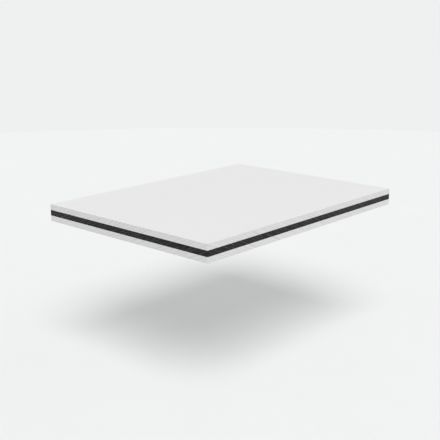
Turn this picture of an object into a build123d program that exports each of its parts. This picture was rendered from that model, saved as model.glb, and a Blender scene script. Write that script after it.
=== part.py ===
"""Aluminium composite panel: a small rectangular piece of sandwich sheet, cut square from a larger board.

Two aluminium skins are bonded to a black polyethylene core over the whole of their faces. One cut goes
through all three layers, so their sides are flush all round. The corners of the cut piece are eased: the
four upright ones through the whole thickness, and the outer arris of each skin.

X runs along the length, Y across the width and Z through the thickness. The origin is the middle of the
back face, on which the panel lies.
"""

from build123d import *
import os

# The face of the cut piece, in millimetres
panel_length = 100.0
panel_width = 75.0

# The layers, from face to face
skin_thickness = 2.0
core_thickness = 2.0

# The eased corners
upright_corner_radius = 0.2
arris_radius = 0.05

# On a thin skin an arris stops halfway through the metal
skin_arris_radius = min(arris_radius, 0.5 * skin_thickness)

# Heights of the two bonds above the back face
back_bond = skin_thickness
front_bond = back_bond + core_thickness


# The outline that the cut gives to every layer
with BuildSketch() as cut_outline:
    RectangleRounded(panel_length, panel_width, upright_corner_radius)


# Back skin: its lower side is the back face, with the arris eased
with BuildPart() as back_skin:
    with BuildSketch(Plane.XY):
        add(cut_outline.sketch)
    extrude(amount=skin_thickness)
    back_face = back_skin.faces().sort_by(Axis.Z)[0]
    fillet(back_face.edges(), skin_arris_radius)


# Core: plain sheet, bonded to a skin on each side
with BuildPart() as core:
    with BuildSketch(Plane.XY.offset(back_bond)):
        add(cut_outline.sketch)
    extrude(amount=core_thickness)


# Front skin: its upper side is the coated face, with the arris eased
with BuildPart() as front_skin:
    with BuildSketch(Plane.XY.offset(front_bond)):
        add(cut_outline.sketch)
    extrude(amount=skin_thickness)
    front_face = front_skin.faces().sort_by(Axis.Z)[-1]
    fillet(front_face.edges(), skin_arris_radius)


back_skin.part.label = "back_skin"
core.part.label = "core"
front_skin.part.label = "front_skin"

os.makedirs("parts", exist_ok=True)
export_step(back_skin.part, "parts/back_skin.step")
export_step(core.part, "parts/core.step")
export_step(front_skin.part, "parts/front_skin.step")
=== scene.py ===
"""Finish, floor, light and camera for the aluminium composite panel.

The panel's three layers are the frame's own solids and keep their shape. This script gives each of them its
material: coil-coated aluminium in front, a service-coated skin behind, black polyethylene between them, and
the marks of the saw round all four sides.
"""

import math

import bmesh
import bpy
from mathutils import Matrix, Vector


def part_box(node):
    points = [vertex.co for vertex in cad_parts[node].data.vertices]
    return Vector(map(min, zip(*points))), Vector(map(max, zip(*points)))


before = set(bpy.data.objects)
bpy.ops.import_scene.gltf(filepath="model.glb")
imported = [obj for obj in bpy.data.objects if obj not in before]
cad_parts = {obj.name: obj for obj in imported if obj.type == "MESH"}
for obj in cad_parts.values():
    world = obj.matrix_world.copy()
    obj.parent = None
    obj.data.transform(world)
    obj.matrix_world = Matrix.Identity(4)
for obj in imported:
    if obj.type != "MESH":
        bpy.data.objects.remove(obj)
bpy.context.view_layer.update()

MM = 0.001

# Heights of the two outer faces in metres, from the frame
BACK_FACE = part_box("back_skin")[0].z
FRONT_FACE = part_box("front_skin")[1].z

# The camera in the panel's frame: where it stands, which way it points, how far it leans and how far it sees
CAMERA_PLACE_MM = (-222.02, -199.08, 74.74)
CAMERA_HEADING_DEG = 42.318
CAMERA_DOWN_DEG = 14.604
CAMERA_LEAN_DEG = -0.175
CAMERA_LENS_MM = 69.189
CAMERA_SENSOR_MM = 36.0
CAMERA_NEAR_MM = 10.0
CAMERA_FAR_MM = 10000.0

# The panel hangs level over a round floor, whose far rim draws the faint line behind it
FLOOR_DROP_MM = 55.9
FLOOR_RADIUS_MM = 800.0
FLOOR_CENTRE_MM = (-157.5, -140.5)
FLOOR_SEGMENTS = 128
FLOOR_GRAIN_MM = 30.0
FLOOR_WHITES = ("#F2F4F3", "#F4F6F5")
FLOOR_ROUGHNESS = 1.0
FLOOR_SPECULAR_LEVEL = 0.0

# The backdrop, which only the camera sees
BACKDROP_WHITE = "#EFF0F0"
BACKDROP_STRENGTH = 1.0

# Even light from all round, which fills the shadow
AIR_WHITE = "#FFFFFF"
AIR_STRENGTH = 0.562

# One broad lamp high behind the camera, far enough away to light the floor evenly
KEY_AZIMUTH_DEG = -133.0
KEY_ELEVATION_DEG = 46.0
KEY_SPREAD_DEG = 28.8
KEY_STRENGTH = 1.73

# A broader and weaker one, low at the camera's right, which lifts the right side over the left one
FILL_AZIMUTH_DEG = -40.0
FILL_ELEVATION_DEG = 18.0
FILL_SPREAD_DEG = 60.0
FILL_STRENGTH = 0.30

# Every noise strays round its middle value. Its detail is the number of finer noises laid over it: one keeps
# a pattern soft, and two break it up.
NOISE_MIDDLE = 0.5
SOFT_DETAIL = 1.0
BROKEN_DETAIL = 2.0

# Where coordinates already count marks or lines, a noise takes them as they are. A wave repeats 20 / (2 pi)
# times a unit, so it is given one wave a unit.
COUNTED_NOISE_SCALE = 1.0
COUNTED_WAVE_SCALE = math.tau / 20

# A bump of this distance takes heights in metres as they are
BUMP_DISTANCE = 1.0

# The film is about 0.025 mm of baked paint. Easing the arris has worn it back to a slightly ragged line,
# which runs this far from the face.
FILM_EDGE_MM = 0.010
FILM_RAGGED_MM = 0.004
RAGGED_STEP_MM = 0.4

# Orange peel in the film, and the faint lines that the coating roller leaves along the sheet
ORANGE_PEEL_MM = 1.2
ORANGE_PEEL_HEIGHT_MM = 0.0006
ROLLER_LINE_MM = 1.6
ROLLER_RUN_MM = 70.0

# The films of the two faces, and how far their roughness strays
FRONT_FILM = {"colours": ("#EDEDED", "#F1F1F1"), "roughness": 0.50}
BACK_FILM = {"colours": ("#C8CAC9", "#D3D5D4"), "roughness": 0.60}
FILM_ROUGHNESS_SPREAD = 0.03

# The saw: each tooth leaves a shallow slanting mark, and once a turn the blade's highest tooth leaves a
# deeper one, which wanders. Real tooth marks are about 0.1 mm apart along the edge. They are drawn four
# times as far apart, because finer ones would vanish between the pixels.
SAW_SLANT_DEG = 25.0
TOOTH_PITCH_MM = 0.4
TURN_PITCH_MM = 1.9
TURN_WANDER = 12.0

# A mark changes within this height of the side, and within this length of it
MARK_RUN_MM = 3.0
MARK_FADE_MM = 12.0

# What the marks do to each material: the two colours and roughnesses are those beside a mark and in it, and
# a small tooth spread makes the tooth marks sharp
SAWN_METAL = {
    "colours": ("#EAE9E9", "#D9D8D8"),
    "roughnesses": (0.52, 0.60),
    "tooth_spread": 0.18,
    "tooth_height_mm": 0.008,
    "turn_height_mm": 0.006,
}
SAWN_BLACK = {
    "colours": ("#050505", "#404040"),
    "roughnesses": (0.42, 0.70),
    "tooth_spread": 0.06,
    "tooth_height_mm": 0.025,
    "turn_height_mm": 0.04,
}
POLYETHYLENE_IOR = 1.51
TORN_SPECULAR_LEVEL = 0.20


def linear(hex_colour):
    """An sRGB hex colour as linear red, green, blue and a full alpha."""
    channels = [int(hex_colour[i : i + 2], 16) / 255 for i in (1, 3, 5)]
    return tuple(c / 12.92 if c <= 0.04045 else ((c + 0.055) / 1.055) ** 2.4 for c in channels) + (1.0,)


def add(tree, kind, settings=None, **inputs):
    """Adds a node with its settings and inputs, and returns the first output that they leave in use.

    An input goes by its name, with _ for a space, or by its place, as in i0, and is given a value or linked
    from a socket.
    """
    node = tree.nodes.new(kind)
    for name, value in (settings or {}).items():
        setattr(node, name, value)
    for name, value in inputs.items():
        if name[1:].isdigit():
            socket = node.inputs[int(name[1:])]
        else:
            socket = next(s for s in node.inputs if s.enabled and s.name == name.replace("_", " "))
        if isinstance(value, bpy.types.NodeSocket):
            tree.links.new(value, socket)
        else:
            socket.default_value = value
    return next((s for s in node.outputs if s.enabled), None)


def new_material(name):
    """An empty node material, its tree and the piece's own coordinates."""
    material = bpy.data.materials.new(name)
    material.use_nodes = True
    tree = material.node_tree
    tree.nodes.clear()
    return material, tree, add(tree, "ShaderNodeTexCoord").node.outputs["Object"]


def across_marks(tree, place, pitch_mm):
    """Coordinates on the four cut sides whose X counts slanting marks at this pitch.

    A mark is a line of one value of x + y + z / tan(slant), so on every side it rises towards the near left
    corner. Y and Z change slowly along it, so that it fades and returns.
    """
    rise = 1 / math.tan(math.radians(SAW_SLANT_DEG))
    steps = {
        "X": Vector((1, 1, rise)) / (pitch_mm * MM),
        "Y": Vector((0, 0, 1)) / (MARK_RUN_MM * MM),
        "Z": Vector((1, -1, 0)) / (MARK_FADE_MM * MM),
    }
    along = {
        axis: add(tree, "ShaderNodeVectorMath", {"operation": "DOT_PRODUCT"}, i0=place, i1=step)
        for axis, step in steps.items()
    }
    return add(tree, "ShaderNodeCombineXYZ", **along)


def sawn_finish(tree, place, colours, roughnesses, tooth_spread, tooth_height_mm, turn_height_mm):
    """Colour, roughness and height of a sawn side. The colour shows where tooth and turn marks meet."""
    noise = add(
        tree,
        "ShaderNodeTexNoise",
        Vector=across_marks(tree, place, TOOTH_PITCH_MM),
        Scale=COUNTED_NOISE_SCALE,
        Detail=SOFT_DETAIL,
    )
    teeth = add(
        tree,
        "ShaderNodeMapRange",
        Value=noise,
        From_Min=NOISE_MIDDLE - tooth_spread,
        From_Max=NOISE_MIDDLE + tooth_spread,
    )
    wave = add(
        tree,
        "ShaderNodeTexWave",
        Vector=across_marks(tree, place, TURN_PITCH_MM),
        Scale=COUNTED_WAVE_SCALE,
        Distortion=TURN_WANDER,
        Detail=SOFT_DETAIL,
    )
    turns = wave.node.outputs["Fac"]
    marks = add(tree, "ShaderNodeMath", {"operation": "MULTIPLY"}, i0=teeth, i1=turns)
    beside, inside = [linear(c) for c in colours]
    colour = add(tree, "ShaderNodeMix", {"data_type": "RGBA"}, Factor=marks, A=beside, B=inside)
    roughness = add(
        tree, "ShaderNodeMapRange", Value=marks, To_Min=roughnesses[0], To_Max=roughnesses[1]
    )
    turn_height = add(
        tree, "ShaderNodeMath", {"operation": "MULTIPLY"}, i0=turns, i1=turn_height_mm * MM
    )
    height = add(
        tree,
        "ShaderNodeMath",
        {"operation": "MULTIPLY_ADD"},
        i0=teeth,
        i1=tooth_height_mm * MM,
        i2=turn_height,
    )
    return colour, roughness, height


def film_finish(tree, place, colours, roughness):
    """Colour, roughness and height of a roller-coated film: faint lines along the sheet, and orange peel."""
    stretch = Vector((1 / ROLLER_RUN_MM, 1 / ROLLER_LINE_MM, 0)) / MM
    sheet = add(tree, "ShaderNodeVectorMath", {"operation": "MULTIPLY"}, i0=place, i1=stretch)
    rolled = add(
        tree, "ShaderNodeTexNoise", Vector=sheet, Scale=COUNTED_NOISE_SCALE, Detail=BROKEN_DETAIL
    )
    low, high = [linear(c) for c in colours]
    colour = add(tree, "ShaderNodeMix", {"data_type": "RGBA"}, Factor=rolled, A=low, B=high)
    strayed = add(
        tree,
        "ShaderNodeMapRange",
        Value=rolled,
        To_Min=roughness - FILM_ROUGHNESS_SPREAD,
        To_Max=roughness + FILM_ROUGHNESS_SPREAD,
    )
    peel = add(
        tree, "ShaderNodeTexNoise", Vector=place, Scale=1 / (ORANGE_PEEL_MM * MM), Detail=SOFT_DETAIL
    )
    height = add(
        tree, "ShaderNodeMath", {"operation": "MULTIPLY"}, i0=peel, i1=ORANGE_PEEL_HEIGHT_MM * MM
    )
    return colour, strayed, height


def coated_aluminium(name, face, film):
    """Aluminium with a thin film on its outer face, and bare sawn metal from the arris on."""
    material, tree, place = new_material(name)
    level = add(tree, "ShaderNodeSeparateXYZ", Vector=place).node.outputs["Z"]
    above = add(tree, "ShaderNodeMath", {"operation": "SUBTRACT"}, i0=level, i1=face)
    depth = add(tree, "ShaderNodeMath", {"operation": "ABSOLUTE"}, i0=above)
    ragged = add(
        tree, "ShaderNodeTexNoise", Vector=place, Scale=1 / (RAGGED_STEP_MM * MM), Detail=BROKEN_DETAIL
    )
    film_edge = add(
        tree,
        "ShaderNodeMapRange",
        Value=ragged,
        To_Min=(FILM_EDGE_MM - FILM_RAGGED_MM) * MM,
        To_Max=(FILM_EDGE_MM + FILM_RAGGED_MM) * MM,
    )
    coated = add(tree, "ShaderNodeMath", {"operation": "LESS_THAN"}, i0=depth, i1=film_edge)
    bare = add(tree, "ShaderNodeMath", {"operation": "SUBTRACT"}, i0=1.0, i1=coated)

    metal_colour, metal_roughness, metal_height = sawn_finish(tree, place, **SAWN_METAL)
    film_colour, film_roughness, film_height = film_finish(tree, place, **film)
    colour = add(
        tree, "ShaderNodeMix", {"data_type": "RGBA"}, Factor=coated, A=metal_colour, B=film_colour
    )
    roughness = add(tree, "ShaderNodeMix", Factor=coated, A=metal_roughness, B=film_roughness)
    height = add(tree, "ShaderNodeMix", Factor=coated, A=metal_height, B=film_height)
    normal = add(tree, "ShaderNodeBump", Height=height, Distance=BUMP_DISTANCE)
    shader = add(
        tree,
        "ShaderNodeBsdfPrincipled",
        Base_Color=colour,
        Metallic=bare,
        Roughness=roughness,
        Normal=normal,
    )
    add(tree, "ShaderNodeOutputMaterial", Surface=shader)
    return material


def coil_coated_aluminium():
    """Aluminium sheet, coil coated in white polyester, sawn and deburred.

    The eye sees an even satin white with a trace of orange peel, which ends in a crisp line where the bare
    sawn metal of the sides begins.
    """
    return coated_aluminium("coil_coated_aluminium", FRONT_FACE, FRONT_FILM)


def service_coated_aluminium():
    """Aluminium sheet with only a thin grey primer wash on its hidden face, sawn and deburred.

    The eye sees a duller and darker face than the front, and the same bare metal round its sides.
    """
    return coated_aluminium("service_coated_aluminium", BACK_FACE, BACK_FILM)


def sawn_black_polyethylene():
    """Low-density polyethylene sheet, extruded with carbon black and sawn.

    The eye sees a dull near-black, with the same slanting marks as in the metal but torn deeper and paler,
    because the plastic is soft. A torn surface returns little gloss, so its specular level is low.
    """
    material, tree, place = new_material("sawn_black_polyethylene")
    colour, roughness, height = sawn_finish(tree, place, **SAWN_BLACK)
    normal = add(tree, "ShaderNodeBump", Height=height, Distance=BUMP_DISTANCE)
    shader = add(
        tree,
        "ShaderNodeBsdfPrincipled",
        Base_Color=colour,
        Roughness=roughness,
        Normal=normal,
        IOR=POLYETHYLENE_IOR,
        Specular_IOR_Level=TORN_SPECULAR_LEVEL,
    )
    add(tree, "ShaderNodeOutputMaterial", Surface=shader)
    return material


def rolled_matt_white():
    """White emulsion rolled on board: the eye sees an even dull white with no gloss and hardly any grain."""
    material, tree, place = new_material("rolled_matt_white")
    grain = add(
        tree, "ShaderNodeTexNoise", Vector=place, Scale=1 / (FLOOR_GRAIN_MM * MM), Detail=BROKEN_DETAIL
    )
    low, high = [linear(c) for c in FLOOR_WHITES]
    colour = add(tree, "ShaderNodeMix", {"data_type": "RGBA"}, Factor=grain, A=low, B=high)
    shader = add(
        tree,
        "ShaderNodeBsdfPrincipled",
        Base_Color=colour,
        Roughness=FLOOR_ROUGHNESS,
        Specular_IOR_Level=FLOOR_SPECULAR_LEVEL,
    )
    add(tree, "ShaderNodeOutputMaterial", Surface=shader)
    return material


def make_floor():
    """The round floor that takes the panel's shadow."""
    mesh = bmesh.new()
    centre = Vector((*FLOOR_CENTRE_MM, -FLOOR_DROP_MM)) * MM
    bmesh.ops.create_circle(
        mesh,
        cap_ends=True,
        segments=FLOOR_SEGMENTS,
        radius=FLOOR_RADIUS_MM * MM,
        matrix=Matrix.Translation(centre),
    )
    data = bpy.data.meshes.new("floor")
    mesh.to_mesh(data)
    mesh.free()
    data.materials.append(rolled_matt_white())
    floor = bpy.data.objects.new("floor", data)
    bpy.context.scene.collection.objects.link(floor)


def make_backdrop():
    """The pale backdrop that the camera sees, and the even light that reaches the panel from all round."""
    world = bpy.data.worlds.new("backdrop")
    world.use_nodes = True
    tree = world.node_tree
    tree.nodes.clear()
    air = add(tree, "ShaderNodeBackground", Color=linear(AIR_WHITE), Strength=AIR_STRENGTH)
    seen = add(tree, "ShaderNodeBackground", Color=linear(BACKDROP_WHITE), Strength=BACKDROP_STRENGTH)
    by_camera = add(tree, "ShaderNodeLightPath").node.outputs["Is Camera Ray"]
    both = add(tree, "ShaderNodeMixShader", i0=by_camera, i1=air, i2=seen)
    add(tree, "ShaderNodeOutputWorld", Surface=both)
    bpy.context.scene.world = world


def direction(azimuth_deg, elevation_deg):
    """The way to a point at this azimuth, anticlockwise from +X, and this elevation."""
    azimuth, elevation = math.radians(azimuth_deg), math.radians(elevation_deg)
    flat = math.cos(elevation)
    return Vector((flat * math.cos(azimuth), flat * math.sin(azimuth), math.sin(elevation)))


def make_lamp(name, azimuth_deg, elevation_deg, spread_deg, strength):
    """A far lamp that shines from this direction and fills this angle of the sky."""
    light = bpy.data.lights.new(name, "SUN")
    light.angle = math.radians(spread_deg)
    light.energy = strength
    holder = bpy.data.objects.new(name, light)
    towards_lamp = direction(azimuth_deg, elevation_deg)
    holder.matrix_world = towards_lamp.to_track_quat("Z", "Y").to_matrix().to_4x4()
    bpy.context.scene.collection.objects.link(holder)


def make_camera():
    """The camera at the photograph's angle."""
    lens = bpy.data.cameras.new("camera")
    lens.lens = CAMERA_LENS_MM
    lens.sensor_width = CAMERA_SENSOR_MM
    lens.clip_start = CAMERA_NEAR_MM * MM
    lens.clip_end = CAMERA_FAR_MM * MM
    camera = bpy.data.objects.new("camera", lens)
    ahead = direction(CAMERA_HEADING_DEG, -CAMERA_DOWN_DEG)
    lean = Matrix.Rotation(math.radians(CAMERA_LEAN_DEG), 3, "Z")
    turn = ahead.to_track_quat("-Z", "Y").to_matrix() @ lean
    camera.matrix_world = Matrix.Translation(Vector(CAMERA_PLACE_MM) * MM) @ turn.to_4x4()
    bpy.context.scene.collection.objects.link(camera)
    bpy.context.scene.camera = camera


def dress(node, material):
    """Gives one of the frame's pieces its material."""
    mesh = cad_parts[node].data
    mesh.materials.clear()
    mesh.materials.append(material)


make_camera()
dress("front_skin", coil_coated_aluminium())
dress("core", sawn_black_polyethylene())
dress("back_skin", service_coated_aluminium())
make_floor()
make_backdrop()
make_lamp("key_lamp", KEY_AZIMUTH_DEG, KEY_ELEVATION_DEG, KEY_SPREAD_DEG, KEY_STRENGTH)
make_lamp("fill_lamp", FILL_AZIMUTH_DEG, FILL_ELEVATION_DEG, FILL_SPREAD_DEG, FILL_STRENGTH)
bpy.context.scene.view_settings.view_transform = "Standard"
